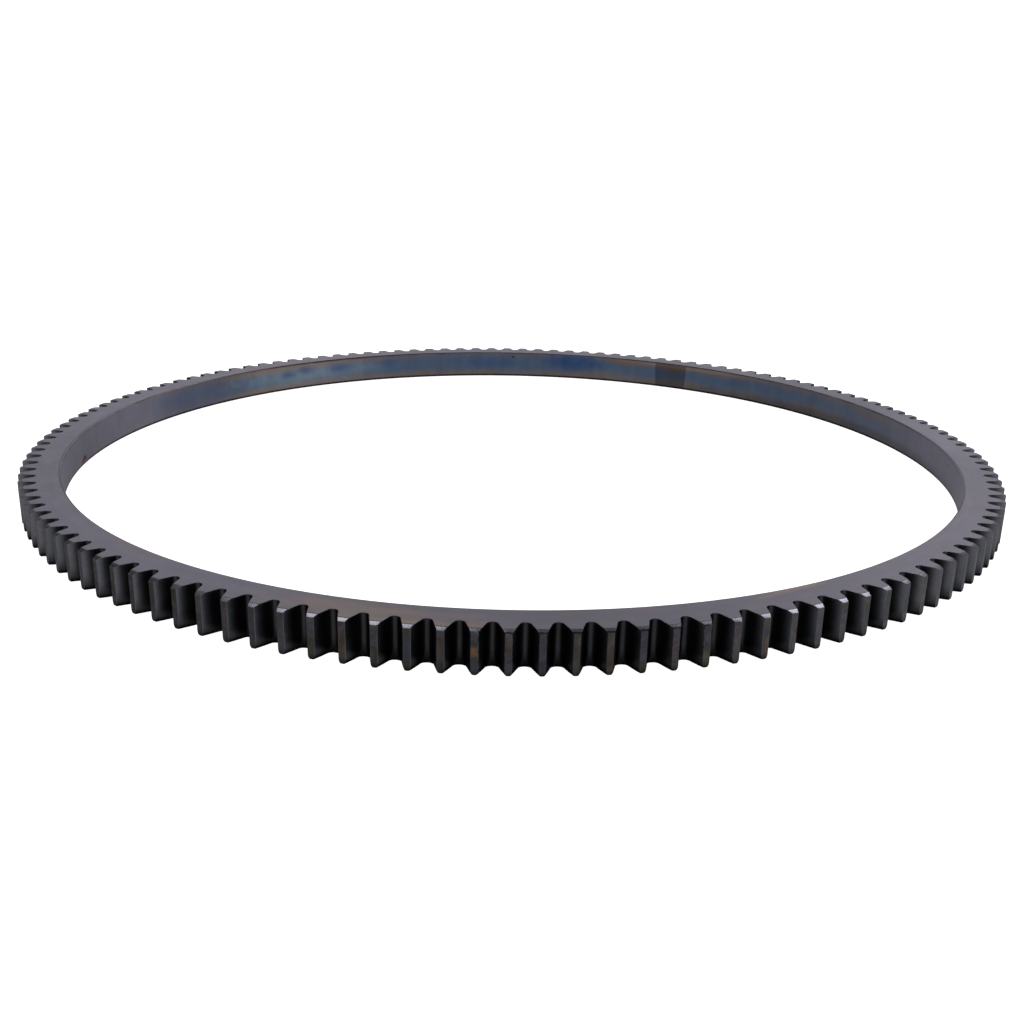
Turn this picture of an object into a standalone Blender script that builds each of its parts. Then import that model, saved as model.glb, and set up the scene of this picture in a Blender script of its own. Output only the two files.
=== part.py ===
"""Flywheel ring gear: one steel ring with spur teeth cut round its outside.

The ring lies flat with its axis on +Z. The origin is on the axis, in the plane of the lower face,
and one tooth is centred on the -Y axis. Lengths are in metres and angles in radians.
"""
import math

import bmesh
import bpy

# Teeth
TOOTH_COUNT = 133
MODULE = 0.003
PRESSURE_ANGLE = math.radians(20)
ADDENDUM_IN_MODULES = 1.0
DEDENDUM_IN_MODULES = 1.167
TOOTH_THINNING = 0.00025
FIRST_TOOTH_ANGLE = math.radians(-90)

# Ring
FACE_WIDTH = 0.014
RIM_THICKNESS = 0.009
BORE_CHAMFER = 0.0005

# Ends of the teeth
TOP_BEVEL_REACH = 0.0020
TOP_BEVEL_HEIGHT = 0.00065
BOTTOM_ROUND_RADIUS = 0.0006

# Steps along the curves
ROOT_ARC_HALF_STEPS = 3
FLANK_STEPS = 3
BOTTOM_ROUND_STEPS = 2
BORE_STEPS_PER_TOOTH = 2
MERGE_DISTANCE = 0.00001
SHARP_EDGE_ANGLE = math.radians(28)

# Finish
STEEL_COLOUR = (0.150, 0.145, 0.165, 1.0)
STEEL_ROUGHNESS = 0.42
STEEL_METALLIC = 1.0

# Sizes that follow from the ones above
PITCH_ANGLE = 2 * math.pi / TOOTH_COUNT
PITCH_RADIUS = MODULE * TOOTH_COUNT / 2
BASE_RADIUS = PITCH_RADIUS * math.cos(PRESSURE_ANGLE)
TIP_RADIUS = PITCH_RADIUS + ADDENDUM_IN_MODULES * MODULE
ROOT_RADIUS = PITCH_RADIUS - DEDENDUM_IN_MODULES * MODULE
BORE_RADIUS = ROOT_RADIUS - RIM_THICKNESS


def involute(pressure_angle):
    """Involute function: polar angle that the curve has turned through from its base circle."""
    return math.tan(pressure_angle) - pressure_angle


def flank_angle(radius):
    """Half the angle that a tooth takes up at a radius, measured from its centre line."""
    half_angle_at_pitch = PITCH_ANGLE / 4 - TOOTH_THINNING / (2 * PITCH_RADIUS)
    half_angle_at_base = half_angle_at_pitch + involute(PRESSURE_ANGLE)
    return half_angle_at_base - involute(math.acos(BASE_RADIUS / radius))


def root_arc_radius():
    """Radius of the arc that touches the root circle and both flanks of a gap."""
    low, high = 0.0, MODULE
    for _ in range(50):
        arc_radius = (low + high) / 2
        centre_radius = ROOT_RADIUS + arc_radius
        gap_half_angle = PITCH_ANGLE / 2 - flank_angle(centre_radius)
        distance_to_flank = BASE_RADIUS * gap_half_angle
        if distance_to_flank > arc_radius:
            low = arc_radius
        else:
            high = arc_radius
    return arc_radius


def root_arc_points():
    """Polar points of half a root arc, from the middle of the gap to where the flank starts."""
    arc_radius = root_arc_radius()
    centre_radius = ROOT_RADIUS + arc_radius
    span = math.asin(BASE_RADIUS / centre_radius)
    points = []
    for step in range(ROOT_ARC_HALF_STEPS + 1):
        turn = span * step / ROOT_ARC_HALF_STEPS
        across = arc_radius * math.sin(turn)
        outward = centre_radius - arc_radius * math.cos(turn)
        angle_from_gap = math.atan2(across, outward)
        points.append((math.hypot(across, outward), PITCH_ANGLE / 2 - angle_from_gap))
    return points


def end_radii():
    """Radii at which the bevel or the round on the ends of the teeth starts, bends or stops."""
    radii = [TIP_RADIUS - TOP_BEVEL_REACH, TIP_RADIUS]
    for step in range(BOTTOM_ROUND_STEPS):
        turn = math.pi / 2 * step / BOTTOM_ROUND_STEPS
        radii.append(TIP_RADIUS - BOTTOM_ROUND_RADIUS * (1 - math.sin(turn)))
    kept = []
    for radius in sorted(radii):
        if not kept or radius - kept[-1] > MERGE_DISTANCE:
            kept.append(radius)
    return kept


def bottom_height(radius):
    """Height of the ring's lower side at a radius."""
    in_round = radius - (TIP_RADIUS - BOTTOM_ROUND_RADIUS)
    if in_round > 0:
        return BOTTOM_ROUND_RADIUS - math.sqrt(max(BOTTOM_ROUND_RADIUS ** 2 - in_round ** 2, 0))
    return max(BORE_RADIUS + BORE_CHAMFER - radius, 0)


def top_height(radius):
    """Height of the ring's upper side at a radius."""
    in_bevel = max(radius - (TIP_RADIUS - TOP_BEVEL_REACH), 0)
    in_chamfer = max(BORE_RADIUS + BORE_CHAMFER - radius, 0)
    return FACE_WIDTH - in_bevel * TOP_BEVEL_HEIGHT / TOP_BEVEL_REACH - in_chamfer


def add_row(bm, top_layer, polar_points):
    """Add the points of one pitch to the lower side, each with the height it has on the upper side."""
    row = []
    for radius, angle in polar_points:
        turned = FIRST_TOOTH_ANGLE + angle
        position = (radius * math.cos(turned), radius * math.sin(turned), bottom_height(radius))
        vertex = bm.verts.new(position)
        vertex[top_layer] = top_height(radius)
        row.append(vertex)
    return row


def add_strips(bm, rows):
    """Fill between neighbouring rows that have the same number of points."""
    for inner, outer in zip(rows, rows[1:]):
        for index in range(len(inner) - 1):
            bm.faces.new((inner[index], outer[index], outer[index + 1], inner[index + 1]))


def add_pitch(bm, top_layer):
    """Draw one tooth with half a gap on each side as faces of the ring's lower side."""
    bore_angles = []
    for step in range(BORE_STEPS_PER_TOOTH + 1):
        bore_angles.append(PITCH_ANGLE * (step / BORE_STEPS_PER_TOOTH - 0.5))
    bore_rows = []
    for radius in (BORE_RADIUS, BORE_RADIUS + BORE_CHAMFER):
        bore_rows.append(add_row(bm, top_layer, [(radius, angle) for angle in bore_angles]))
    add_strips(bm, bore_rows)

    radii = end_radii()
    half_outline = root_arc_points()
    flank_start = half_outline[-1][0]
    for step in range(1, FLANK_STEPS + 1):
        radius = flank_start + (radii[0] - flank_start) * step / FLANK_STEPS
        half_outline.append((radius, flank_angle(radius)))
    left = [(radius, -angle) for radius, angle in half_outline]
    outline = add_row(bm, top_layer, left + half_outline[::-1])
    bm.faces.new(outline + bore_rows[-1][::-1])

    middle = len(half_outline)
    tooth_rows = [outline[middle - 1:middle + 1]]
    for radius in radii[1:]:
        angle = flank_angle(radius)
        tooth_rows.append(add_row(bm, top_layer, [(radius, -angle), (radius, angle)]))
    add_strips(bm, tooth_rows)


def ring_mesh():
    """Repeat one pitch round the axis, join the copies and raise them into a solid ring."""
    bm = bmesh.new()
    top_layer = bm.verts.layers.float.new("top_height")
    add_pitch(bm, top_layer)
    bmesh.ops.spin(
        bm,
        geom=bm.verts[:] + bm.edges[:] + bm.faces[:],
        cent=(0, 0, 0),
        axis=(0, 0, 1),
        angle=2 * math.pi - PITCH_ANGLE,
        steps=TOOTH_COUNT - 1,
        use_duplicate=True,
    )
    bmesh.ops.remove_doubles(bm, verts=bm.verts[:], dist=MERGE_DISTANCE)
    raised = bmesh.ops.extrude_face_region(bm, geom=bm.faces[:])
    for element in raised["geom"]:
        if isinstance(element, bmesh.types.BMVert):
            element.co.z = element[top_layer]
    bm.verts.layers.float.remove(top_layer)
    bmesh.ops.recalc_face_normals(bm, faces=bm.faces[:])
    mesh = bpy.data.meshes.new("ring_gear")
    bm.to_mesh(mesh)
    bm.free()
    return mesh


def steel_material():
    """Dark satin steel, as left by heat treatment."""
    material = bpy.data.materials.new("dark_steel")
    material.use_nodes = True
    shader = material.node_tree.nodes["Principled BSDF"]
    shader.inputs["Base Color"].default_value = STEEL_COLOUR
    shader.inputs["Roughness"].default_value = STEEL_ROUGHNESS
    shader.inputs["Metallic"].default_value = STEEL_METALLIC
    return material


def main():
    for old in list(bpy.data.objects):
        bpy.data.objects.remove(old, do_unlink=True)
    mesh = ring_mesh()
    mesh.materials.append(steel_material())
    mesh.shade_smooth()
    mesh.set_sharp_from_angle(angle=SHARP_EDGE_ANGLE)
    ring = bpy.data.objects.new("ring_gear", mesh)
    bpy.context.scene.collection.objects.link(ring)


main()
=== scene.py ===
"""Flywheel ring gear: the toothed steel ring with its finish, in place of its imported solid.

The ring lies flat with its axis on +Z and one tooth centred on -Y, as the solid does.
Lengths are in metres and angles in radians, apart from the values marked otherwise.
"""
import math

import bpy
from mathutils import Matrix, Vector


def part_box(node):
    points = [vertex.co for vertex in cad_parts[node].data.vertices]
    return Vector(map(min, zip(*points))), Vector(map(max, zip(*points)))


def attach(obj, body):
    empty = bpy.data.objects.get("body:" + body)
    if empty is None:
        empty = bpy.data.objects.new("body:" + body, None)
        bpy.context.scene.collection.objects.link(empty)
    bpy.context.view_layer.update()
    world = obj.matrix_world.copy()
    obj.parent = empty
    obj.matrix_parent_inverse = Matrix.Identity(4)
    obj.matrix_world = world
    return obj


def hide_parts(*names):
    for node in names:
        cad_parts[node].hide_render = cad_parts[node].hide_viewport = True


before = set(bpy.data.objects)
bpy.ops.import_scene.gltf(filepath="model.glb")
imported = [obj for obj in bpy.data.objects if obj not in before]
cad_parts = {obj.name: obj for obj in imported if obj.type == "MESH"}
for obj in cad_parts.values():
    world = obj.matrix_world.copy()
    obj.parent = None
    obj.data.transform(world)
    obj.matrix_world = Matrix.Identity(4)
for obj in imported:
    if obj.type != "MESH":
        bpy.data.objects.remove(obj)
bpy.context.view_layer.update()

# Teeth, as on the solid
TOOTH_COUNT = 133
MODULE = 0.003
PRESSURE_ANGLE = math.radians(20)
DEDENDUM_IN_MODULES = 1.167
TOOTH_THINNING = 0.00025
FIRST_TOOTH_ANGLE = math.radians(-90)
PITCH_ANGLE = 2 * math.pi / TOOTH_COUNT
PITCH_RADIUS = MODULE * TOOTH_COUNT / 2
BASE_RADIUS = PITCH_RADIUS * math.cos(PRESSURE_ANGLE)
ROOT_RADIUS = PITCH_RADIUS - DEDENDUM_IN_MODULES * MODULE
TIP_RADIUS = -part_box("ring_gear")[0].y

# Ring, as on the solid
FACE_WIDTH = 0.014
RIM_THICKNESS = 0.009
BORE_RADIUS = ROOT_RADIUS - RIM_THICKNESS
BORE_CHAMFER = 0.0005
BOTTOM_ROUND_RADIUS = 0.0006

# Top bevel: share of its reach and slope in degrees of each run, from the face outwards
TOP_BEVEL_REACH = 0.0020
TOP_BEVEL_RUNS = ((0.15, 5), (0.15, 12), (0.70, 18.5))

# Finish of the mesh
STEPS_PER_PITCH = 3
BLANK_HALF_STEPS = 5
GAPS_CUT = 4
BOTTOM_ROUND_STEPS = 6
ROOT_ARC_HALVINGS = 50
ROOT_ARC_HALF_STEPS = 6
FLANK_STEPS = 6
CUTTER_OVERRUN = 0.002
FLAT_LIMIT = math.radians(0.1)
SMOOTH_LIMIT = math.radians(40)
MERGE_DISTANCE = 0.000006

# Lower ends of the teeth: height of their rounding, and the share by which it widens the gaps
END_ROUNDING_HEIGHT = 0.0016
END_GAP_WIDENING = 0.29
END_ROUNDING_STEPS = 4

# Rounding of the sharp edges
EDGE_ROUNDING = 0.00012
EDGE_ROUNDING_STEPS = 3
EDGE_LIMIT = math.radians(34)

# How faces are told apart by their normals
FLAT_NORMAL = 0.999
BEVEL_NORMAL = 0.4
TIP_NORMAL_ACROSS = 0.5

# Grain of the steel
MILLIMETRES = 1000
CLOUD_SIZE = 0.012
GRAIN_SIZE = 0.0006
PIT_SIZE = 0.0024
GRAIN_HEIGHT = 0.000012
RAGGED_SIZE = 0.006
NICK_SIZE = 0.0012

# Noise: how finely each kind is broken up, and the low, middle and high values it gives
NOISE_DETAIL = 3.0
NOISE_ROUGHNESS = 0.55
GRAIN_DETAIL = 2.0
CLOUD_DETAIL = 4.0
CLOUD_ROUGHNESS = 0.6
STREAK_DETAIL = 4.0
RAGGED_DETAIL = 4.0
DRIFT_DETAIL = 1.0
NOISE_LOW = 0.3
NOISE_MIDDLE = 0.5
NOISE_HIGH = 0.7

# Colour sockets of a mix node
MIX_COLOURS_IN = slice(6, 8)
MIX_COLOUR_OUT = 2

# Tint of what the steel mirrors at a grazing angle, dimmer in the gaps and on the edges
GRAZING_TINT = (0.75, 0.75, 0.8, 1.0)
DIM_GRAZING_TINT = (0.3, 0.3, 0.33, 1.0)

# Turned face: tints of its patches, and size of its streaks along and across the ring
FACE_CASTS = (
    (0.190, 0.181, 0.220),
    (0.205, 0.180, 0.208),
    (0.185, 0.184, 0.228),
    (0.200, 0.186, 0.205),
)
FACE_STREAKS = (0.016, 0.0035)
FACE_ROUGHNESS = (0.34, 0.42)
FACE_VARIATION = (0.07, 0.05)

# Bore wall: blue along its middle, brown towards its edges, with streaks up the wall
BORE_BLUE = (0.080, 0.116, 0.184)
BORE_BROWN = (0.146, 0.124, 0.120)
BORE_EDGE_RED = (0.130, 0.050, 0.045)
BORE_EDGE_BROWN = (0.085, 0.060, 0.055)
BORE_GREY = (0.125, 0.125, 0.150)
BORE_STREAKS = (0.005, 0.040)
BORE_ROUGHNESS = (0.30, 0.38)
BORE_STREAK_VARIATION = (0.05, 0.04)
BORE_CLOUD_VARIATION = (0.12, 0.0)

# Blue band of the bore: its height, its fade and how far it wanders are in millimetres
BLUE_BAND_HEIGHT = 7.6
BLUE_BAND_FADE = (1.0, 6.0)
BLUE_BAND_WANDER = 1.5
BLUE_BAND_WANDER_SIZE = 0.030

# Tips: the casts that heat left, and how far round their list one tooth runs
TIP_CASTS = (
    (0.076, 0.076, 0.096),
    (0.112, 0.096, 0.098),
    (0.086, 0.072, 0.058),
    (0.068, 0.070, 0.060),
    (0.062, 0.068, 0.090),
    (0.100, 0.088, 0.095),
)
TIP_CAST_RUN = 1.0
TIP_CAST_SIZE = 0.007
TIP_CLOUD_SIZE = 0.005
TIP_ROUGHNESS = (0.32, 0.42)
TIP_VARIATION = (0.2, 0.1)

# Gaps: near black in the root, lighter up the flanks, between two radii in millimetres; the dark
# root is painted shade in the recess
ROOT_PAINTED_SHADE_TINT = (0.052, 0.052, 0.058)
FLANK_TINT = (0.155, 0.160, 0.180)
FLANK_TINT_RADII = (198.5, 202.3)
GAP_ROUGHNESS = (0.30, 0.40)
GAP_VARIATION = (0.15, 0.1)

# Bevel and edges
BEVEL_TINT = (0.125, 0.122, 0.140)
BEVEL_ROUGHNESS = (0.24, 0.30)
BEVEL_VARIATION = (0.12, 0.03)
BEVEL_GRAIN_HEIGHT = 0.000001
# Edges: lighter than the tips as a painted highlight along their rounding.
EDGE_HIGHLIGHT_TINT = (0.130, 0.130, 0.150)
EDGE_ROUGHNESS = (0.32, 0.42)
EDGE_VARIATION = (0.25, 0.1)

# Painted shade at the foot of the teeth, standing in for the floor's contact shadow mirrored
# there: heights in millimetres that it lies between, and the share of tone left
TIP_FOOT_SHADE_HEIGHTS = (0.0, 2.5)
TIP_FOOT_SHADE_SHARE = 0.35
GAP_FOOT_SHADE_HEIGHTS = (0.0, 6.5)
GAP_FOOT_SHADE_SHARE = 0.12
EDGE_FOOT_SHADE_HEIGHTS = (0.0, 3.0)
EDGE_FOOT_SHADE_SHARE = 0.15

# Tints of the stains, and of the painted light and shade
STRAW = (0.30, 0.235, 0.20)
RUST_PINK = (0.28, 0.205, 0.20)
PALE_PINK = (0.31, 0.255, 0.275)
PAINTED_LIGHT_LAVENDER = (0.285, 0.272, 0.335)
RUST_BROWN = (0.17, 0.11, 0.085)
DEEP_BLUE = (0.036, 0.074, 0.180)
PALE_BLUE = (0.20, 0.26, 0.32)
PALE_TAN = (0.24, 0.19, 0.165)
SLATE_VIOLET = (0.085, 0.100, 0.150)
PAINTED_LIGHT_GREY = (0.205, 0.195, 0.240)
DARK_BROWN = (0.050, 0.036, 0.034)
MARK_RED = (0.20, 0.030, 0.035)
YELLOW_BROWN = (0.22, 0.18, 0.13)
SHADE = (0.54, 0.53, 0.54)
NEAR_BLACK = (0.012, 0.012, 0.016)
NICK_BLACK = (0.020, 0.024, 0.038)
RUST_ORANGE = (0.30, 0.16, 0.09)

# Stains, with painted light and shade where noted: degrees, half length, mm up or out, half width,
# strength, tint, softness, raggedness
FACE_STAINS = (
    (-63.0, 3.2, 188.2, 1.5, 0.85, STRAW, 0.6, 1.2),
    (-66.0, 1.4, 190.3, 0.9, 0.6, STRAW, 0.6, 0.9),
    (-103.0, 8.0, 194.5, 5.0, 0.6, STRAW, 0.7, 1.6),
    (-98.0, 7.0, 199.8, 1.8, 0.9, STRAW, 0.6, 1.6),
    (-107.0, 2.4, 191.9, 1.6, 0.8, RUST_PINK, 0.6, 1.2),
    (-99.4, 1.6, 192.3, 1.2, 0.7, RUST_PINK, 0.6, 1.2),
    (-92.4, 1.6, 198.0, 1.6, 0.8, RUST_PINK, 0.6, 1.2),
    # Painted light: the broad pale-lavender patches lighten wide stretches of the face where it
    # mirrors a brighter surround.
    (-135.0, 22.0, 193.0, 14.0, 0.4, PAINTED_LIGHT_LAVENDER, 0.8, 0.6),
    (-131.0, 3.0, 189.0, 2.0, 0.4, RUST_PINK, 0.8, 1.0),
    (155.0, 42.0, 192.0, 16.0, 0.6, PAINTED_LIGHT_LAVENDER, 0.8, 0.6),
    (128.0, 12.0, 192.0, 10.0, 0.5, PALE_PINK, 0.8, 1.0),
    (85.0, 30.0, 192.0, 14.0, 0.3, PAINTED_LIGHT_LAVENDER, 0.8, 0.6),
    (5.0, 10.0, 192.0, 14.0, 0.4, PAINTED_LIGHT_LAVENDER, 0.8, 0.6),
    (-170.0, 32.0, 187.4, 0.7, 0.45, YELLOW_BROWN, 0.5, 1.0),
)
BORE_STAINS = (
    (98.0, 22.0, 10.0, 5.0, 0.7, BORE_BLUE, 0.6, 0.6),
    # Painted light: the pale-grey patches brighten the bore wall at its left and its right, where
    # it mirrors a brighter surround.
    (182.0, 24.0, 7.0, 30.0, 0.9, PAINTED_LIGHT_GREY, 0.4, 0.6),
    (10.0, 24.0, 7.0, 14.0, 0.45, BORE_GREY, 0.6, 0.6),
    (-8.0, 20.0, 7.0, 30.0, 0.85, PAINTED_LIGHT_GREY, 0.5, 0.6),
    (150.0, 9.0, 7.0, 8.0, 0.8, SLATE_VIOLET, 0.6, 0.8),
    (129.0, 11.0, 8.0, 4.5, 0.65, PALE_BLUE, 0.7, 1.6),
    (130.0, 12.0, 12.3, 1.8, 0.5, PALE_TAN, 0.6, 1.0),
    (130.0, 12.0, 2.0, 2.0, 0.4, PALE_TAN, 0.6, 1.0),
    (132.0, 1.3, 8.5, 2.0, 0.6, DEEP_BLUE, 0.8, 1.2),
    (128.7, 1.5, 10.0, 2.0, 0.6, DEEP_BLUE, 0.8, 1.2),
    (122.3, 2.0, 9.0, 2.5, 0.6, DEEP_BLUE, 0.8, 1.2),
    (113.0, 1.2, 9.5, 2.5, 0.5, DEEP_BLUE, 0.8, 1.2),
    (94.5, 5.0, 8.5, 3.0, 0.45, DEEP_BLUE, 0.8, 0.8),
    (79.3, 4.4, 9.8, 4.2, 0.95, DEEP_BLUE, 0.8, 0.8),
    (69.8, 3.4, 12.2, 1.5, 0.75, RUST_BROWN, 0.6, 0.8),
    (61.0, 3.2, 12.8, 3.2, 0.9, RUST_BROWN, 0.5, 0.5),
    (58.0, 12.0, 13.0, 1.5, 0.6, PALE_TAN, 0.5, 0.8),
    (152.0, 16.0, 13.75, 0.4, 0.9, DARK_BROWN, 0.3, 0.3),
    (124.0, 18.0, 13.7, 0.5, 1.0, BORE_EDGE_RED, 0.3, 0.6),
    (70.0, 40.0, 13.75, 0.3, 0.8, BORE_EDGE_BROWN, 0.3, 0.3),
    (90.3, 0.22, 11.5, 0.5, 0.9, NEAR_BLACK, 0.4, 0.0),
    (-5.3, 0.3, 10.0, 0.5, 0.8, NEAR_BLACK, 0.4, 0.0),
    (-177.3, 0.7, 2.9, 1.0, 0.95, NEAR_BLACK, 0.4, 0.3),
    (-176.6, 0.6, 2.2, 0.9, 1.0, MARK_RED, 0.4, 0.3),
    # Painted shade: near black all round the foot of the bore wall, where its lower chamfer
    # mirrors the shaded floor under the ring.
    (0.0, 400.0, 0.3, 0.9, 0.9, NEAR_BLACK, 0.4, 0.2),
)
# Painted shade, multiplied onto the bore: a sharp-sided dark patch up the wall, and darker low on
# the wall towards the right.
BORE_PAINTED_SHADES = (
    (61.35, 2.85, 12.0, 30.0, 0.95, SHADE, 0.05, 0.06),
    (25.0, 30.0, 1.5, 3.0, 0.7, SHADE, 0.6, 0.4),
)
TIP_STAINS = (
    (-92.7, 0.5, 7.4, 1.4, 0.6, RUST_ORANGE, 0.5, 0.8),
)
NICKS = (
    (-82.5, 10.0, 202.25, 0.5, 0.95, NICK_BLACK, 0.3, 2.2),
)

# Floor, and what the camera sees of the surround
FLOOR_RADIUS = 30.0
FLOOR_CORNERS = 96
FLOOR_DROP = 0.0002
FLOOR_COLOUR = (0.9, 0.9, 0.9, 1.0)
FLOOR_ROUGHNESS = 0.9
FLOOR_GLOW = 1.0
SURROUND_SEEN = 1.15

# Surround as the steel mirrors it: brightness by the sine of the elevation
SURROUND_TONES = (
    (-1.0, 0.06),
    (-0.64, 0.13),
    (-0.38, 0.36),
    (-0.2, 0.68),
    (0.0, 1.00),
    (0.12, 0.85),
    (0.25, 0.82),
    (0.3, 0.68),
    (0.36, 0.70),
    (0.42, 0.80),
    (0.52, 0.36),
    (0.65, 0.22),
    (0.88, 0.20),
    (1.0, 0.60),
)

# Above a height: the share of that brightness towards each side, and how it grows in front
UPPER_HEIGHTS = (0.15, 0.35)
UPPER_SIDE_TONES = (
    (-0.92, 0.95),
    (-0.75, 0.35),
    (-0.56, 0.35),
    (-0.35, 0.80),
    (0.0, 0.90),
    (0.2, 1.00),
    (0.56, 0.55),
    (0.75, 0.55),
    (0.92, 0.95),
)
UPPER_FRONT = ((-0.7, -0.45), (1.7, 1.0))

# Below a height: how it changes towards the right, at the far left and behind
LOWER_HEIGHTS = (-0.30, -0.22)
LOWER_RIGHT = ((0.3, 0.85), (1.2, 2.1))
LOWER_FAR_LEFT = ((-0.95, -0.75), (0.45, 1.0))
LOWER_BEHIND = ((0.4, 0.75), (1.0, 0.5))

# Softboxes: name, azimuth and elevation in degrees, width, height, radiance
SOFTBOX_DISTANCE = 3.0
SOFTBOXES = (
    ("right_softbox", 54, 44, 0.65, 0.75, 9.0),
    ("left_softbox", 115, 57, 0.85, 0.7, 6.0),
)

# Camera, with its lens and sensor in millimetres
CAMERA_PLACE = (0.0, -0.49727, 0.15115)
CAMERA_PAN = 0.00044
CAMERA_TILT = 0.33335
CAMERA_ROLL = 0.02105
CAMERA_LENS = 41.058
SENSOR_WIDTH = 36.0


# Shape of the teeth and of the ring's section

def involute(pressure_angle):
    """Polar angle that an involute has turned through from its base circle."""
    return math.tan(pressure_angle) - pressure_angle


def flank_angle(radius):
    """Half the angle that a tooth takes up at a radius, from its centre line."""
    half_angle_at_pitch = PITCH_ANGLE / 4 - TOOTH_THINNING / (2 * PITCH_RADIUS)
    half_angle_at_base = half_angle_at_pitch + involute(PRESSURE_ANGLE)
    return half_angle_at_base - involute(math.acos(BASE_RADIUS / radius))


def root_arc_radius():
    """Radius of the arc that touches the root circle and both flanks of a gap."""
    low, high = 0.0, MODULE
    for _ in range(ROOT_ARC_HALVINGS):
        arc_radius = (low + high) / 2
        gap_half_angle = PITCH_ANGLE / 2 - flank_angle(ROOT_RADIUS + arc_radius)
        if BASE_RADIUS * gap_half_angle > arc_radius:
            low = arc_radius
        else:
            high = arc_radius
    return arc_radius


def gap_half_outline():
    """Polar points of half a tooth gap, from the middle of its root to beyond the tips."""
    arc_radius = root_arc_radius()
    centre_radius = ROOT_RADIUS + arc_radius
    span = math.asin(BASE_RADIUS / centre_radius)
    points = []
    for step in range(ROOT_ARC_HALF_STEPS + 1):
        turn = span * step / ROOT_ARC_HALF_STEPS
        across = arc_radius * math.sin(turn)
        outward = centre_radius - arc_radius * math.cos(turn)
        points.append((math.hypot(across, outward), math.atan2(across, outward)))
    flank_start = points[-1][0]
    for step in range(1, FLANK_STEPS + 1):
        radius = flank_start + (TIP_RADIUS - flank_start) * step / FLANK_STEPS
        points.append((radius, PITCH_ANGLE / 2 - flank_angle(radius)))
    flank_end = TIP_RADIUS + CUTTER_OVERRUN
    points.append((flank_end, PITCH_ANGLE / 2 - flank_angle(flank_end)))
    return points


def ring_point(radius, angle, height):
    """Point at a radius and height, at an angle from the first tooth's centre line."""
    turned = FIRST_TOOTH_ANGLE + angle
    return Vector((radius * math.cos(turned), radius * math.sin(turned), height))


def top_bevel_corners():
    """Radius and height along the top bevel, from the tips in to the flat face."""
    radius, height = TIP_RADIUS - TOP_BEVEL_REACH, FACE_WIDTH
    corners = [(radius, height)]
    for share, slope in TOP_BEVEL_RUNS:
        radius += share * TOP_BEVEL_REACH
        height -= share * TOP_BEVEL_REACH * math.tan(math.radians(slope))
        corners.append((radius, height))
    return corners[::-1]


def ring_section():
    """Radius and height of each corner of the turned blank's section."""
    corners = [
        (BORE_RADIUS, FACE_WIDTH - BORE_CHAMFER),
        (BORE_RADIUS, BORE_CHAMFER),
        (BORE_RADIUS + BORE_CHAMFER, 0),
    ]
    for step in range(BOTTOM_ROUND_STEPS + 1):
        turn = math.pi / 2 * step / BOTTOM_ROUND_STEPS
        corners.append((
            TIP_RADIUS - BOTTOM_ROUND_RADIUS * (1 - math.sin(turn)),
            BOTTOM_ROUND_RADIUS * (1 - math.cos(turn)),
        ))
    corners += top_bevel_corners()
    corners.append((BORE_RADIUS + BORE_CHAMFER, FACE_WIDTH))
    return corners


# Modelling steps

def draw_outline(name, points):
    """Start a piece: draw a closed outline from point to point and fill it."""
    bpy.ops.object.select_all(action="DESELECT")
    bpy.ops.mesh.primitive_plane_add(size=MODULE)
    piece = bpy.context.active_object
    piece.name = name
    bpy.ops.object.mode_set(mode="EDIT")
    bpy.ops.mesh.select_all(action="SELECT")
    bpy.ops.mesh.merge(type="CENTER")
    bpy.ops.transform.translate(value=points[0])
    for last, point in zip(points, points[1:]):
        bpy.ops.mesh.extrude_region_move(TRANSFORM_OT_translate={"value": point - last})
    bpy.ops.mesh.select_all(action="SELECT")
    bpy.ops.mesh.edge_face_add()
    return piece


def apply_modifier(piece, kind, **settings):
    """Add a modifier to a piece, set it up and apply it."""
    bpy.ops.object.select_all(action="DESELECT")
    piece.select_set(True)
    bpy.context.view_layer.objects.active = piece
    modifier = piece.modifiers.new(kind.lower(), kind)
    for name, value in settings.items():
        setattr(modifier, name, value)
    bpy.ops.object.modifier_apply(modifier=modifier.name)


def turned_blank():
    """Turn the ring's section through the first tooth, its neighbours and a little more."""
    start = PITCH_ANGLE * BLANK_HALF_STEPS / STEPS_PER_PITCH
    points = [ring_point(radius, start, height) for radius, height in ring_section()]
    blank = draw_outline("ring_blank", points)
    bpy.ops.mesh.spin(
        steps=2 * BLANK_HALF_STEPS,
        angle=2 * start,
        center=(0, 0, 0),
        axis=(0, 0, 1),
    )
    bpy.ops.mesh.select_all(action="SELECT")
    bpy.ops.mesh.remove_doubles(threshold=MERGE_DISTANCE)
    bpy.ops.mesh.normals_make_consistent(inside=False)
    bpy.ops.object.mode_set(mode="OBJECT")
    return blank


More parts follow.
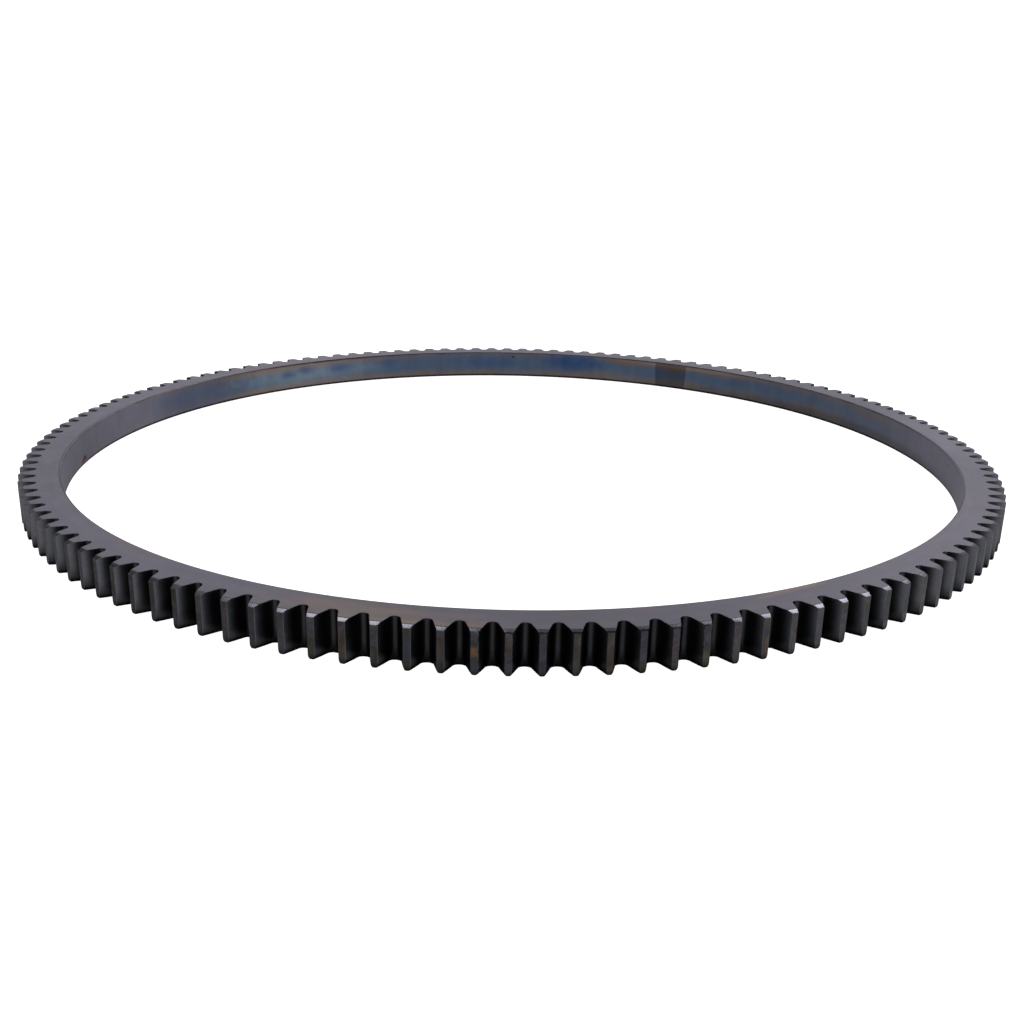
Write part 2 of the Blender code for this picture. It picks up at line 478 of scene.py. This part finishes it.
def gap_cutters():
    """Draw one gap, extrude it down and wider at its foot, and copy it to the other gaps.

    The turn and the spin both count clockwise.
    """
    copies = GAPS_CUT - 1
    half = gap_half_outline()
    outline = [(radius, -angle) for radius, angle in half[:0:-1]] + half
    top = FACE_WIDTH + CUTTER_OVERRUN
    cutters = draw_outline("gap_cutters", [ring_point(*polar, top) for polar in outline])
    height, widening = top, 0
    for step in range(END_ROUNDING_STEPS + 1):
        turn = math.pi / 2 * step / END_ROUNDING_STEPS
        next_height = END_ROUNDING_HEIGHT * (1 - math.sin(turn))
        next_widening = END_GAP_WIDENING * (1 - math.cos(turn))
        drop = (0, 0, next_height - height)
        bpy.ops.mesh.extrude_region_move(TRANSFORM_OT_translate={"value": drop})
        share = (1 + next_widening) / (1 + widening)
        bpy.ops.transform.resize(value=(share, 1, 1), center_override=(0, 0, 0))
        height, widening = next_height, next_widening
    bpy.ops.mesh.extrude_region_move(TRANSFORM_OT_translate={"value": (0, 0, -CUTTER_OVERRUN)})
    bpy.ops.mesh.select_all(action="SELECT")
    bpy.ops.transform.rotate(
        value=-copies / 2 * PITCH_ANGLE,
        orient_axis="Z",
        center_override=(0, 0, 0),
    )
    bpy.ops.mesh.spin(
        steps=copies,
        dupli=True,
        angle=copies * PITCH_ANGLE,
        center=(0, 0, 0),
        axis=(0, 0, 1),
    )
    bpy.ops.mesh.select_all(action="SELECT")
    bpy.ops.mesh.normals_make_consistent(inside=False)
    bpy.ops.object.mode_set(mode="OBJECT")
    return cutters


def keep_middle_pitch(piece):
    """Cut the piece off at the middle of the gap on each side of the first tooth."""
    bpy.context.view_layer.objects.active = piece
    bpy.ops.object.mode_set(mode="EDIT")
    for side in (-1, 1):
        across = ring_point(1, side * (PITCH_ANGLE / 2 + math.pi / 2), 0)
        bpy.ops.mesh.select_all(action="SELECT")
        bpy.ops.mesh.bisect(
            plane_co=(0, 0, 0),
            plane_no=across,
            clear_outer=True,
            threshold=MERGE_DISTANCE,
        )
    bpy.ops.object.mode_set(mode="OBJECT")


def repeat_round_ring(piece):
    """Copy the pitch to every other tooth and join the copies into one ring."""
    bpy.context.view_layer.objects.active = piece
    bpy.ops.object.mode_set(mode="EDIT")
    bpy.ops.mesh.select_all(action="SELECT")
    bpy.ops.mesh.spin(
        steps=TOOTH_COUNT - 1,
        dupli=True,
        angle=2 * math.pi - PITCH_ANGLE,
        center=(0, 0, 0),
        axis=(0, 0, 1),
    )
    bpy.ops.mesh.select_all(action="SELECT")
    bpy.ops.mesh.remove_doubles(threshold=MERGE_DISTANCE)
    bpy.ops.mesh.normals_make_consistent(inside=False)
    bpy.ops.object.mode_set(mode="OBJECT")


def is_flat(normal):
    """Whether a face lies level."""
    return abs(normal.z) > FLAT_NORMAL


def is_bore(middle):
    """Whether a face lies on the bore wall or its chamfers."""
    return middle.xy.length < BORE_RADIUS + BORE_CHAMFER


def is_bevel(normal, middle):
    """Whether a face lies on the top bevel."""
    return normal.z > BEVEL_NORMAL and middle.xy.length > TIP_RADIUS - TOP_BEVEL_REACH


def is_tip(normal, middle):
    """Whether a face lies on a tip or on the round below it."""
    across = abs(middle.xy.normalized().cross(normal.xy))
    outer = middle.xy.length > TIP_RADIUS - BOTTOM_ROUND_RADIUS
    return outer and across < TIP_NORMAL_ACROSS


def share_out_steels(piece, steels):
    """Give the piece a steel for each kind of surface, by where a face lies and looks."""
    for steel in steels.values():
        piece.data.materials.append(steel)
    slots = list(steels)
    for face in piece.data.polygons:
        normal, middle = face.normal, face.center
        kind = "gap"
        if is_flat(normal):
            kind = "face"
        elif is_bore(middle):
            kind = "bore"
        elif is_bevel(normal, middle):
            kind = "bevel"
        elif is_tip(normal, middle):
            kind = "tip"
        face.material_index = slots.index(kind)


def toothed_ring(steels):
    """Turn the blank, cut the gaps, round the edges and repeat one tooth round the ring."""
    ring = turned_blank()
    cutters = gap_cutters()
    apply_modifier(ring, "BOOLEAN", operation="DIFFERENCE", solver="EXACT", object=cutters)
    bpy.data.objects.remove(cutters, do_unlink=True)
    bpy.ops.object.mode_set(mode="EDIT")
    bpy.ops.mesh.select_all(action="SELECT")
    bpy.ops.mesh.remove_doubles(threshold=MERGE_DISTANCE)
    bpy.ops.mesh.dissolve_limited(angle_limit=FLAT_LIMIT)
    bpy.ops.object.mode_set(mode="OBJECT")
    share_out_steels(ring, steels)
    apply_modifier(
        ring,
        "BEVEL",
        width=EDGE_ROUNDING,
        segments=EDGE_ROUNDING_STEPS,
        limit_method="ANGLE",
        angle_limit=EDGE_LIMIT,
        use_clamp_overlap=False,
        material=list(steels).index("edge"),
    )
    keep_middle_pitch(ring)
    repeat_round_ring(ring)
    ring.name = "toothed_ring"
    bpy.ops.object.select_all(action="DESELECT")
    ring.select_set(True)
    bpy.ops.object.shade_smooth_by_angle(angle=SMOOTH_LIMIT)
    apply_modifier(ring, "WEIGHTED_NORMAL", keep_sharp=True)
    return ring


# Node helpers

def link_or_set(tree, sockets, values):
    """Link or set each named input socket."""
    for name, value in values.items():
        if isinstance(value, bpy.types.NodeSocket):
            tree.links.new(value, sockets[name])
        else:
            sockets[name].default_value = value


def add_node(tree, kind, inputs=None, **settings):
    """Add a shader node, then set its properties and set or link its inputs."""
    node = tree.nodes.new(kind)
    for name, value in settings.items():
        setattr(node, name, value)
    link_or_set(tree, node.inputs, inputs or {})
    return node


def calculate(tree, operation, *values):
    """Result of a maths node."""
    inputs = dict(enumerate(values))
    return add_node(tree, "ShaderNodeMath", inputs, operation=operation).outputs[0]


def calculate_vector(tree, operation, inputs):
    """Result of a vector maths node."""
    return add_node(tree, "ShaderNodeVectorMath", inputs, operation=operation).outputs["Vector"]


def remap(tree, value, old, new=(0.0, 1.0), interpolation="LINEAR"):
    """Value moved from one range to another, and kept inside it."""
    inputs = {
        "Value": value,
        "From Min": old[0],
        "From Max": old[1],
        "To Min": new[0],
        "To Max": new[1],
    }
    node = add_node(tree, "ShaderNodeMapRange", inputs, interpolation_type=interpolation)
    return node.outputs["Result"]


def remap_noise(tree, value, new):
    """Noise spread over a range."""
    return remap(tree, value, (NOISE_LOW, NOISE_HIGH), new)


def blend(tree, amount, first, second, blend_type="MIX"):
    """Colour between two colours, or one laid on the other by a blend type."""
    node = add_node(tree, "ShaderNodeMix", data_type="RGBA", blend_type=blend_type)
    tree.links.new(amount, node.inputs[0])
    for socket, value in zip(node.inputs[MIX_COLOURS_IN], (first, second)):
        if isinstance(value, bpy.types.NodeSocket):
            tree.links.new(value, socket)
        else:
            socket.default_value = (*value, 1.0)
    return node.outputs[MIX_COLOUR_OUT]


def colour_run(tree, value, stops):
    """Colour that runs through (position, colour) stops as a value goes from 0 to 1."""
    node = add_node(tree, "ShaderNodeValToRGB", {"Fac": value})
    elements = node.color_ramp.elements
    elements.remove(elements[1])
    elements[0].position = stops[0][0]
    elements[0].color = (*stops[0][1], 1.0)
    for position, colour in stops[1:]:
        elements.new(position).color = (*colour, 1.0)
    return node.outputs["Color"]


def colour_round(tree, value, colours):
    """Colour that runs through a list of colours and back to the first, again and again."""
    last = len(colours)
    stops = [(index / last, colours[index % last]) for index in range(last + 1)]
    return colour_run(tree, calculate(tree, "FRACT", value), stops)


def noise(tree, point, size, detail=NOISE_DETAIL, roughness=NOISE_ROUGHNESS):
    """Cloudy noise whose blobs are about a size across, in the units of the point."""
    scale = calculate(tree, "DIVIDE", 1.0, size)
    inputs = {"Vector": point, "Scale": scale, "Detail": detail, "Roughness": roughness}
    return add_node(tree, "ShaderNodeTexNoise", inputs).outputs["Fac"]


def start_group(name, inputs, outputs):
    """Start an effect as a node group with named inputs and outputs."""
    group = bpy.data.node_groups.new(name, "ShaderNodeTree")
    for socket, value in inputs.items():
        kind = "NodeSocketVector" if isinstance(value, tuple) else "NodeSocketFloat"
        made = group.interface.new_socket(socket, in_out="INPUT", socket_type=kind)
        made.default_value = value
    for socket in outputs:
        kind = "NodeSocketVector" if socket == "Point" else "NodeSocketFloat"
        group.interface.new_socket(socket, in_out="OUTPUT", socket_type=kind)
    given = group.nodes.new("NodeGroupInput").outputs
    end = group.nodes.new("NodeGroupOutput").inputs
    return group, given, end


def use_group(tree, group, inputs=None):
    """Place an effect in a material with its own values."""
    node = tree.nodes.new("ShaderNodeGroup")
    node.node_tree = group
    link_or_set(tree, node.inputs, inputs or {})
    return node.outputs


# Effects shared by the steels

def ring_place_group():
    """Where a point lies, in degrees and millimetres, and a chance value for its tooth."""
    names = ("Point", "Angle", "Radius", "Height", "Tooth")
    group, _, end = start_group("ring_place", {}, names)
    point = add_node(group, "ShaderNodeTexCoord").outputs["Object"]
    parts = add_node(group, "ShaderNodeSeparateXYZ", {"Vector": point}).outputs
    turned = calculate(group, "ARCTAN2", parts["Y"], parts["X"])
    across = calculate(group, "MULTIPLY", parts["X"], parts["X"])
    along = calculate(group, "MULTIPLY", parts["Y"], parts["Y"])
    radius = calculate(group, "SQRT", calculate(group, "ADD", across, along))
    from_first = calculate(group, "SUBTRACT", turned, FIRST_TOOTH_ANGLE)
    number = calculate(group, "ROUND", calculate(group, "DIVIDE", from_first, PITCH_ANGLE))
    wrapped = calculate(group, "FLOORED_MODULO", number, TOOTH_COUNT)
    chance = add_node(group, "ShaderNodeTexWhiteNoise", {"W": wrapped}, noise_dimensions="1D")
    group.links.new(point, end["Point"])
    group.links.new(calculate(group, "DEGREES", turned), end["Angle"])
    group.links.new(calculate(group, "MULTIPLY", radius, MILLIMETRES), end["Radius"])
    group.links.new(calculate(group, "MULTIPLY", parts["Z"], MILLIMETRES), end["Height"])
    group.links.new(chance.outputs["Value"], end["Tooth"])
    return group


def satin_grain_group():
    """Uneven tone of satin steel: wide clouds, fine grain, and the height of the grain."""
    group, given, end = start_group(
        "satin_grain",
        {"Point": (0, 0, 0), "Cloud Size": CLOUD_SIZE},
        ("Clouds", "Grain", "Relief"),
    )
    point = given["Point"]
    grain = noise(group, point, GRAIN_SIZE, GRAIN_DETAIL)
    pits = noise(group, point, PIT_SIZE)
    clouds = noise(group, point, given["Cloud Size"], CLOUD_DETAIL, CLOUD_ROUGHNESS)
    group.links.new(clouds, end["Clouds"])
    group.links.new(grain, end["Grain"])
    group.links.new(calculate(group, "ADD", grain, pits), end["Relief"])
    return group


def ring_streaks_group():
    """Streaks that follow the ring: long round it on a face, or up the wall of the bore."""
    along, across = FACE_STREAKS
    group, given, end = start_group(
        "ring_streaks",
        {"Point": (0, 0, 0), "Radius": 0.0, "Height": 0.0, "Along": along, "Across": across},
        ("Streaks",),
    )
    flat = calculate_vector(group, "MULTIPLY", {0: given["Point"], 1: (1, 1, 0)})
    direction = calculate_vector(group, "NORMALIZE", {0: flat})
    streaks_round = calculate(group, "DIVIDE", PITCH_RADIUS, given["Along"])
    turned = calculate_vector(group, "SCALE", {0: direction, "Scale": streaks_round})
    offset = calculate(group, "ADD", given["Radius"], given["Height"])
    offset = calculate(group, "DIVIDE", offset, MILLIMETRES)
    streaks_across = calculate(group, "DIVIDE", offset, given["Across"])
    raised = add_node(group, "ShaderNodeCombineXYZ", {"Z": streaks_across}).outputs["Vector"]
    place = calculate_vector(group, "ADD", {0: turned, 1: raised})
    group.links.new(noise(group, place, 1.0, STREAK_DETAIL), end["Streaks"])
    return group


def stain_group():
    """Mask of one stain: an uneven patch round an angle, and round a radius or a height."""
    group, given, end = start_group(
        "stain",
        {
            "Point": (0, 0, 0),
            "Angle": 0.0,
            "Across": 0.0,
            "At Angle": 0.0,
            "At Across": 0.0,
            "Half Angle": 1.0,
            "Half Across": 1.0,
            "Softness": 0.5,
            "Raggedness": 0.5,
            "Ragged Size": RAGGED_SIZE,
        },
        ("Mask",),
    )
    squares = []
    for along in ("Angle", "Across"):
        offset = calculate(group, "SUBTRACT", given[along], given["At " + along])
        if along == "Angle":
            offset = calculate(group, "WRAP", offset, 180.0, -180.0)
        share = calculate(group, "DIVIDE", offset, given["Half " + along])
        squares.append(calculate(group, "MULTIPLY", share, share))
    reach = calculate(group, "SQRT", calculate(group, "ADD", *squares))
    ragged = noise(group, given["Point"], given["Ragged Size"], RAGGED_DETAIL)
    ragged = calculate(group, "SUBTRACT", ragged, NOISE_MIDDLE)
    ragged = calculate(group, "MULTIPLY", ragged, given["Raggedness"])
    reach = calculate(group, "ADD", reach, ragged)
    inner = calculate(group, "SUBTRACT", 1.0, given["Softness"])
    outer = calculate(group, "ADD", 1.0, given["Softness"])
    mask = remap(group, reach, (inner, outer), (1.0, 0.0), "SMOOTHSTEP")
    group.links.new(mask, end["Mask"])
    return group


# Steels

def start_steel(
    name,
    roughness_range,
    groups,
    cloud_size=CLOUD_SIZE,
    grain_height=GRAIN_HEIGHT,
    grazing_tint=GRAZING_TINT,
):
    """Start a steel: place on the ring, grain, roughness and fine bump. Returns its parts."""
    material = bpy.data.materials.new(name)
    material.use_nodes = True
    tree = material.node_tree
    shader = tree.nodes["Principled BSDF"]
    shader.inputs["Metallic"].default_value = 1.0
    shader.inputs["Specular Tint"].default_value = grazing_tint
    place = use_group(tree, groups["place"])
    grain = use_group(tree, groups["grain"], {"Point": place["Point"], "Cloud Size": cloud_size})
    rough = remap_noise(tree, grain["Clouds"], roughness_range)
    tree.links.new(rough, shader.inputs["Roughness"])
    bump = add_node(
        tree,
        "ShaderNodeBump",
        {"Height": grain["Relief"], "Distance": grain_height, "Strength": 1.0},
    )
    tree.links.new(bump.outputs["Normal"], shader.inputs["Normal"])
    return material, tree, shader, place, grain


def vary(tree, colour, grain, shares):
    """Colour made lighter and darker, by one share for the clouds and one for the grain."""
    cloud_share, grain_share = shares
    cloud_tone = remap_noise(tree, grain["Clouds"], (1 - cloud_share, 1 + cloud_share))
    grain_tone = remap_noise(tree, grain["Grain"], (1 - grain_share, 1 + grain_share))
    tone = calculate(tree, "MULTIPLY", cloud_tone, grain_tone)
    return calculate_vector(tree, "SCALE", {0: colour, "Scale": tone})


def streaks_on(tree, place, sizes, groups):
    """Streaks of a size along and across the ring."""
    inputs = {name: place[name] for name in ("Point", "Radius", "Height")}
    inputs["Along"], inputs["Across"] = sizes
    return use_group(tree, groups["streaks"], inputs)["Streaks"]


def add_stains(tree, colour, place, across, stains, groups, blend_type="MIX", size=RAGGED_SIZE):
    """Lay a list of stains on a colour."""
    for stain in stains:
        angle, half_angle, at, half_across, strength, tint, softness, ragged = stain
        inputs = {
            "Point": place["Point"],
            "Angle": place["Angle"],
            "Across": place[across],
            "At Angle": angle,
            "Half Angle": half_angle,
            "At Across": at,
            "Half Across": half_across,
            "Softness": softness,
            "Raggedness": ragged,
            "Ragged Size": size,
        }
        mask = use_group(tree, groups["stain"], inputs)["Mask"]
        amount = calculate(tree, "MULTIPLY", mask, strength)
        colour = blend(tree, amount, colour, tint, blend_type)
    return colour


def paint_foot_shade(tree, colour, place, heights, share_left):
    """Darken a colour towards the foot of the ring, as painted shade."""
    share = remap(tree, place["Height"], heights, (share_left, 1.0), "SMOOTHSTEP")
    return calculate_vector(tree, "SCALE", {0: colour, "Scale": share})


def face_steel(groups):
    """Turned satin face, grey-violet, with straw and pink patches from heat, and broad lavender
    patches of painted light.
    """
    material, tree, shader, place, grain = start_steel("turned_face_steel", FACE_ROUGHNESS, groups)
    streaks = streaks_on(tree, place, FACE_STREAKS, groups)
    run = calculate(tree, "ADD", streaks, grain["Clouds"])
    colour = colour_round(tree, run, FACE_CASTS)
    # Stains, and broad patches of painted light.
    colour = add_stains(tree, colour, place, "Radius", FACE_STAINS, groups)
    colour = vary(tree, colour, {"Clouds": streaks, "Grain": grain["Grain"]}, FACE_VARIATION)
    tree.links.new(colour, shader.inputs["Base Color"])
    return material


def bore_steel(groups):
    """Bore wall with heat colours: blue along its middle, brown towards both edges; with patches
    of painted light and shade.
    """
    material, tree, shader, place, grain = start_steel(
        "heat_blued_bore_steel", BORE_ROUGHNESS, groups
    )
    streaks = streaks_on(tree, place, BORE_STREAKS, groups)
    drift = noise(tree, place["Point"], BLUE_BAND_WANDER_SIZE, DRIFT_DETAIL)
    wander = remap_noise(tree, drift, (-BLUE_BAND_WANDER, BLUE_BAND_WANDER))
    height = calculate(tree, "ADD", place["Height"], wander)
    offset = calculate(tree, "SUBTRACT", height, BLUE_BAND_HEIGHT)
    from_middle = calculate(tree, "ABSOLUTE", offset)
    blue = remap(tree, from_middle, BLUE_BAND_FADE, (1.0, 0.0), "SMOOTHSTEP")
    colour = blend(tree, blue, BORE_BROWN, BORE_BLUE)
    colour = add_stains(tree, colour, place, "Height", BORE_STAINS, groups)
    # Painted shade, multiplied onto the colour.
    colour = add_stains(tree, colour, place, "Height", BORE_PAINTED_SHADES, groups, "MULTIPLY")
    streaked = {"Clouds": streaks, "Grain": grain["Grain"]}
    colour = vary(tree, colour, streaked, BORE_STREAK_VARIATION)
    colour = vary(tree, colour, grain, BORE_CLOUD_VARIATION)
    tree.links.new(colour, shader.inputs["Base Color"])
    return material


def tip_steel(groups):
    """Tips of the teeth: dark, each running through brown, olive and blue casts from heat."""
    material, tree, shader, place, grain = start_steel(
        "heated_tip_steel", TIP_ROUGHNESS, groups, TIP_CLOUD_SIZE
    )
    drift = noise(tree, place["Point"], TIP_CAST_SIZE, DRIFT_DETAIL)
    spread = remap_noise(tree, drift, (0.0, TIP_CAST_RUN))
    colour = colour_round(tree, calculate(tree, "ADD", place["Tooth"], spread), TIP_CASTS)
    colour = add_stains(tree, colour, place, "Height", TIP_STAINS, groups)
    colour = vary(tree, colour, grain, TIP_VARIATION)
    # Painted shade towards the foot of the teeth.
    colour = paint_foot_shade(tree, colour, place, TIP_FOOT_SHADE_HEIGHTS, TIP_FOOT_SHADE_SHARE)
    tree.links.new(colour, shader.inputs["Base Color"])
    return material


def gap_steel(groups):
    """Hobbed gaps: near black in the root and lighter up the flanks, the dark root being painted
    shade in the recess.
    """
    material, tree, shader, place, grain = start_steel(
        "hobbed_gap_steel", GAP_ROUGHNESS, groups, grazing_tint=DIM_GRAZING_TINT
    )
    # Painted shade: darker deep in the gap, towards the root.
    up_from_root_shade = remap(tree, place["Radius"], FLANK_TINT_RADII, interpolation="SMOOTHSTEP")
    colour = blend(tree, up_from_root_shade, ROOT_PAINTED_SHADE_TINT, FLANK_TINT)
    colour = vary(tree, colour, grain, GAP_VARIATION)
    # Painted shade towards the foot of the gaps.
    colour = paint_foot_shade(tree, colour, place, GAP_FOOT_SHADE_HEIGHTS, GAP_FOOT_SHADE_SHARE)
    tree.links.new(colour, shader.inputs["Base Color"])
    return material


def bevel_steel(groups):
    """Turned bevel on the upper ends of the teeth, with nicks along its lower edge."""
    material, tree, shader, place, grain = start_steel(
        "turned_bevel_steel", BEVEL_ROUGHNESS, groups, grain_height=BEVEL_GRAIN_HEIGHT
    )
    colour = vary(tree, BEVEL_TINT, grain, BEVEL_VARIATION)
    colour = add_stains(tree, colour, place, "Radius", NICKS, groups, size=NICK_SIZE)
    tree.links.new(colour, shader.inputs["Base Color"])
    return material


def edge_steel(groups):
    """Rounded edges, a little brighter than the tips as a painted highlight, and with painted
    shade at the foot.
    """
    material, tree, shader, place, grain = start_steel(
        "edge_steel_painted_highlight", EDGE_ROUGHNESS, groups, grazing_tint=DIM_GRAZING_TINT
    )
    # Painted highlight: a lighter tint than the tips.
    colour = vary(tree, EDGE_HIGHLIGHT_TINT, grain, EDGE_VARIATION)
    colour = add_stains(tree, colour, place, "Radius", NICKS, groups, size=NICK_SIZE)
    # Painted shade towards the foot.
    colour = paint_foot_shade(tree, colour, place, EDGE_FOOT_SHADE_HEIGHTS, EDGE_FOOT_SHADE_SHARE)
    tree.links.new(colour, shader.inputs["Base Color"])
    return material


def make_steels():
    """Make the steel of each kind of surface of the ring."""
    groups = {
        "place": ring_place_group(),
        "grain": satin_grain_group(),
        "streaks": ring_streaks_group(),
        "stain": stain_group(),
    }
    return {
        "face": face_steel(groups),
        "bore": bore_steel(groups),
        "tip": tip_steel(groups),
        "gap": gap_steel(groups),
        "bevel": bevel_steel(groups),
        "edge": edge_steel(groups),
    }


# Studio

def make_floor():
    """Plain pale floor that runs out to a white surround, clear when looked at from below."""
    bpy.ops.object.select_all(action="DESELECT")
    bpy.ops.mesh.primitive_circle_add(
        vertices=FLOOR_CORNERS,
        radius=FLOOR_RADIUS,
        fill_type="NGON",
        location=(0, 0, -FLOOR_DROP),
    )
    floor = bpy.context.active_object
    floor.name = "pale_floor"
    floor.visible_glossy = False
    material = bpy.data.materials.new("pale_floor")
    material.use_nodes = True
    tree = material.node_tree
    shader = tree.nodes["Principled BSDF"]
    shader.inputs["Base Color"].default_value = FLOOR_COLOUR
    shader.inputs["Roughness"].default_value = FLOOR_ROUGHNESS
    shader.inputs["Specular IOR Level"].default_value = 0.0
    shader.inputs["Emission Color"].default_value = (1, 1, 1, 1)
    shader.inputs["Emission Strength"].default_value = FLOOR_GLOW
    underneath = add_node(tree, "ShaderNodeNewGeometry").outputs["Backfacing"]
    clear = add_node(tree, "ShaderNodeBsdfTransparent").outputs["BSDF"]
    shaders = {0: underneath, 1: shader.outputs["BSDF"], 2: clear}
    surface = add_node(tree, "ShaderNodeMixShader", shaders).outputs["Shader"]
    tree.links.new(surface, tree.nodes["Material Output"].inputs["Surface"])
    floor.data.materials.append(material)


def grey_run(tree, value, stops):
    """Brightness that runs through (value, brightness) stops as a value goes from -1 to 1."""
    share = remap(tree, value, (-1.0, 1.0))
    stops = [((at + 1) / 2, (brightness,) * 3) for at, brightness in stops]
    return colour_run(tree, share, stops)


def make_surround():
    """Studio surround, brightest near the horizon and uneven, seen white by the camera."""
    world = bpy.data.worlds.new("studio_surround")
    world.use_nodes = True
    bpy.context.scene.world = world
    tree = world.node_tree
    point = add_node(tree, "ShaderNodeTexCoord").outputs["Generated"]
    parts = add_node(tree, "ShaderNodeSeparateXYZ", {"Vector": point}).outputs
    tone = grey_run(tree, parts["Z"], SURROUND_TONES)
    high = remap(tree, parts["Z"], UPPER_HEIGHTS, interpolation="SMOOTHSTEP")
    upper_side = calculate(
        tree,
        "MULTIPLY",
        grey_run(tree, parts["X"], UPPER_SIDE_TONES),
        remap(tree, parts["Y"], *UPPER_FRONT, "SMOOTHSTEP"),
    )
    side = blend(tree, high, (1, 1, 1), upper_side)
    lower_side = calculate(
        tree,
        "MULTIPLY",
        remap(tree, parts["X"], *LOWER_RIGHT, "SMOOTHSTEP"),
        remap(tree, parts["X"], *LOWER_FAR_LEFT, "SMOOTHSTEP"),
    )
    behind = remap(tree, parts["Y"], *LOWER_BEHIND, "SMOOTHSTEP")
    lower_side = calculate(tree, "MULTIPLY", lower_side, behind)
    low = remap(tree, parts["Z"], LOWER_HEIGHTS, (1.0, 0.0), "SMOOTHSTEP")
    side = blend(tree, low, side, lower_side)
    mirrored = calculate(tree, "MULTIPLY", tone, side)
    seen = add_node(tree, "ShaderNodeLightPath").outputs["Is Camera Ray"]
    white = calculate(tree, "MULTIPLY", seen, SURROUND_SEEN)
    unseen = calculate(tree, "MULTIPLY", calculate(tree, "SUBTRACT", 1.0, seen), mirrored)
    background = tree.nodes["Background"]
    background.inputs["Color"].default_value = (1, 1, 1, 1)
    tree.links.new(calculate(tree, "ADD", white, unseen), background.inputs["Strength"])


def make_softbox(name, azimuth, elevation, width, height, radiance):
    """Soft rectangular light in a direction from the ring, turned to face it."""
    data = bpy.data.lights.new(name, "AREA")
    data.shape = "RECTANGLE"
    data.size = width
    data.size_y = height
    data.energy = radiance * math.pi * width * height
    light = bpy.data.objects.new(name, data)
    bpy.context.scene.collection.objects.link(light)
    direction = Vector((
        math.cos(math.radians(elevation)) * math.cos(math.radians(azimuth)),
        math.cos(math.radians(elevation)) * math.sin(math.radians(azimuth)),
        math.sin(math.radians(elevation)),
    ))
    light.location = direction * SOFTBOX_DISTANCE
    light.rotation_euler = direction.to_track_quat("Z", "Y").to_euler()


def make_camera():
    """Camera at the photograph's place and angle."""
    data = bpy.data.cameras.new("camera")
    data.sensor_width = SENSOR_WIDTH
    data.lens = CAMERA_LENS
    camera = bpy.data.objects.new("camera", data)
    bpy.context.scene.collection.objects.link(camera)
    camera.matrix_world = (
        Matrix.Translation(CAMERA_PLACE)
        @ Matrix.Rotation(-CAMERA_PAN, 4, "Z")
        @ Matrix.Rotation(math.pi / 2 - CAMERA_TILT, 4, "X")
        @ Matrix.Rotation(CAMERA_ROLL, 4, "Z")
    )
    bpy.context.scene.camera = camera


ring = toothed_ring(make_steels())
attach(ring, "root")
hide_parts("ring_gear")

make_floor()
make_surround()
for softbox in SOFTBOXES:
    make_softbox(*softbox)
make_camera()
bpy.context.scene.view_settings.view_transform = "Standard"
